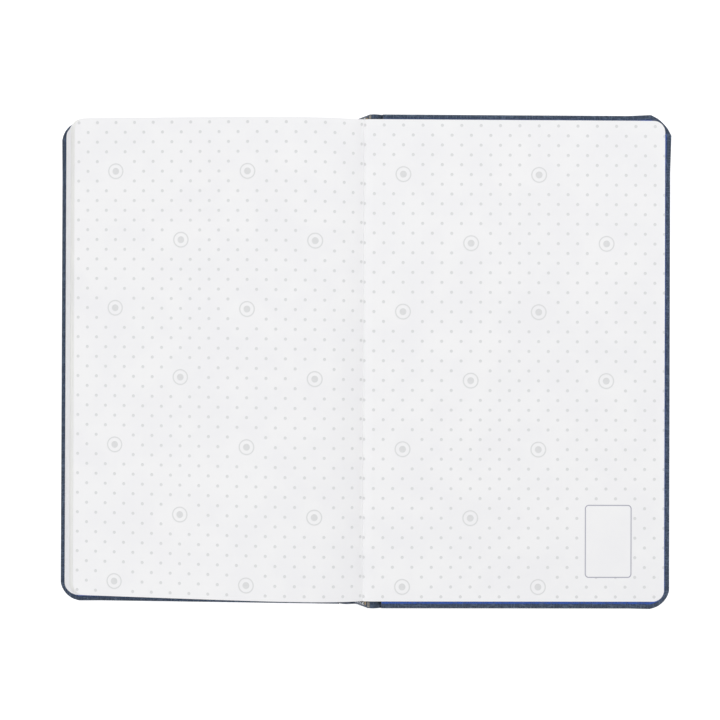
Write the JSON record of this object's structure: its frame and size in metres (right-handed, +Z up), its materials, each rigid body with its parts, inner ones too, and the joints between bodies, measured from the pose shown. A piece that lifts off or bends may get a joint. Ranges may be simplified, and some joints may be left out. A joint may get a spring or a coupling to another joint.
{
  "type": "pilot logbook",
  "caption": "Hardcover sewn pilot logbook, open at its dotted back endpapers, with a cloth case whose covers, spine and page sections move as the book shuts.",
  "frame": {"origin": "middle of the open book's footprint, on the table", "axes": "+X across the spread towards the back cover, +Y towards the head of the pages, +Z up"},
  "size_m": [0.271, 0.2152, 0.0269],
  "materials": {
    "book_cloth": "slate-blue woven book cloth, matt",
    "greyboard": "grey binder's board",
    "infill_card": "smooth card",
    "endpaper": "uncoated white paper printed with a pale grey dot pattern",
    "page_paper": "uncoated white paper",
    "thread": "white linen thread",
    "mull_cloth": "open-weave starched cloth",
    "liner_paper": "brown kraft paper",
    "band_cloth": "striped woven band"
  },
  "bodies": {
    "front_cover": {"front_board": "greyboard", "front_cloth": "book_cloth", "front_infill": "infill_card", "front_pastedown": "endpaper", "front_joint_cloth": "book_cloth", "front_joint_paper": "endpaper"},
    "first_section": {"front_flyleaf": "endpaper", "section_01": "page_paper", "thread_01": "thread"},
    "section_02": {"section_02": "page_paper", "thread_02": "thread"},
    "section_03": {"section_03": "page_paper", "thread_03": "thread"},
    "section_04": {"section_04": "page_paper", "thread_04": "thread"},
    "section_05": {"section_05": "page_paper", "thread_05": "thread"},
    "section_06": {"section_06": "page_paper", "thread_06": "thread"},
    "section_07": {"section_07": "page_paper", "thread_07": "thread"},
    "section_08": {"section_08": "page_paper", "thread_08": "thread"},
    "section_09": {"section_09": "page_paper", "thread_09": "thread"},
    "section_10": {"section_10": "page_paper", "thread_10": "thread"},
    "section_11": {"section_11": "page_paper", "thread_11": "thread"},
    "section_12": {"section_12": "page_paper", "thread_12": "thread", "loose_leaf_01": "page_paper", "loose_leaf_02": "page_paper", "loose_leaf_03": "page_paper", "loose_leaf_04": "page_paper", "loose_leaf_05": "page_paper", "loose_leaf_06": "page_paper"},
    "rear_flyleaf": {"rear_flyleaf": "endpaper"},
    "spine": {"spine_cloth": "book_cloth", "spine_board": "greyboard", "spine_liner": "liner_paper", "mull": "mull_cloth", "head_band": "band_cloth", "tail_band": "band_cloth"},
    "back_cover": {"back_board": "greyboard", "back_cloth": "book_cloth", "back_infill": "infill_card", "back_pastedown": "endpaper", "back_joint_cloth": "book_cloth", "back_joint_paper": "endpaper"}
  },
  "joints": [
    {"name": "front_cover_hinge", "type": "hinge", "parent": "front_cover", "child": "first_section", "pos_m": [-0.00267, 0, 0.00285], "axis": [0, 1, 0], "range_deg": [0, 170], "deforming": ["front_joint_cloth", "front_joint_paper"]},
    {"name": "section_slide_02", "type": "slide", "parent": "first_section", "child": "section_02", "axis": [-1, 0, 0], "range_m": [0, 0.0004826]},
    {"name": "section_slide_03", "type": "slide", "parent": "first_section", "child": "section_03", "axis": [-1, 0, 0], "range_m": [0, 0.0009641]},
    {"name": "section_slide_04", "type": "slide", "parent": "first_section", "child": "section_04", "axis": [-1, 0, 0], "range_m": [0, 0.00145]},
    {"name": "section_slide_05", "type": "slide", "parent": "first_section", "child": "section_05", "axis": [-1, 0, 0], "range_m": [0, 0.00193]},
    {"name": "section_slide_06", "type": "slide", "parent": "first_section", "child": "section_06", "axis": [-1, 0, 0], "range_m": [0, 0.00241]},
    {"name": "section_slide_07", "type": "slide", "parent": "first_section", "child": "section_07", "axis": [-1, 0, 0], "range_m": [0, 0.00289]},
    {"name": "section_slide_08", "type": "slide", "parent": "first_section", "child": "section_08", "axis": [-1, 0, 0], "range_m": [0, 0.00337]},
    {"name": "section_slide_09", "type": "slide", "parent": "first_section", "child": "section_09", "axis": [-1, 0, 0], "range_m": [0, 0.00385]},
    {"name": "section_slide_10", "type": "slide", "parent": "first_section", "child": "section_10", "axis": [-1, 0, 0], "range_m": [0, 0.00434]},
    {"name": "section_slide_11", "type": "slide", "parent": "first_section", "child": "section_11", "axis": [-1, 0, 0], "range_m": [0, 0.00482]},
    {"name": "section_slide_12", "type": "slide", "parent": "first_section", "child": "section_12", "axis": [-1, 0, 0], "range_m": [0, 0.0053]},
    {"name": "back_cover_hinge", "type": "hinge", "parent": "section_12", "child": "back_cover", "pos_m": [0.00311, 0, 0.01851], "axis": [0, -1, 0], "range_deg": [0, 186.66], "deforming": ["back_joint_cloth", "back_joint_paper", "loose_leaf_01", "loose_leaf_02", "loose_leaf_03", "loose_leaf_04", "loose_leaf_05", "loose_leaf_06", "rear_flyleaf"]},
    {"name": "spine_hinge", "type": "hinge", "parent": "back_cover", "child": "spine", "pos_m": [0.00352, 0, 0.01784], "axis": [0, 1, 0], "range_deg": [0, 163.17]},
    {"name": "rear_flyleaf_turn", "type": "hinge", "parent": "section_12", "child": "rear_flyleaf", "pos_m": [0.00182, 0, 0.01687], "axis": [0, -1, 0], "range_deg": [-150, 0]}
  ],
  "couplings": [
    {"joint": "section_slide_02", "follows": "back_cover_hinge", "m_per_rad": 0.00014781},
    {"joint": "section_slide_03", "follows": "back_cover_hinge", "m_per_rad": 0.00029563},
    {"joint": "section_slide_04", "follows": "back_cover_hinge", "m_per_rad": 0.00044344},
    {"joint": "section_slide_05", "follows": "back_cover_hinge", "m_per_rad": 0.00059125},
    {"joint": "section_slide_06", "follows": "back_cover_hinge", "m_per_rad": 0.00073906},
    {"joint": "section_slide_07", "follows": "back_cover_hinge", "m_per_rad": 0.00088688},
    {"joint": "section_slide_08", "follows": "back_cover_hinge", "m_per_rad": 0.0010347},
    {"joint": "section_slide_09", "follows": "back_cover_hinge", "m_per_rad": 0.0011825},
    {"joint": "section_slide_10", "follows": "back_cover_hinge", "m_per_rad": 0.0013303},
    {"joint": "section_slide_11", "follows": "back_cover_hinge", "m_per_rad": 0.0014781},
    {"joint": "section_slide_12", "follows": "back_cover_hinge", "m_per_rad": 0.0016259},
    {"joint": "spine_hinge", "follows": "back_cover_hinge", "ratio": 0.8741}
  ]
}
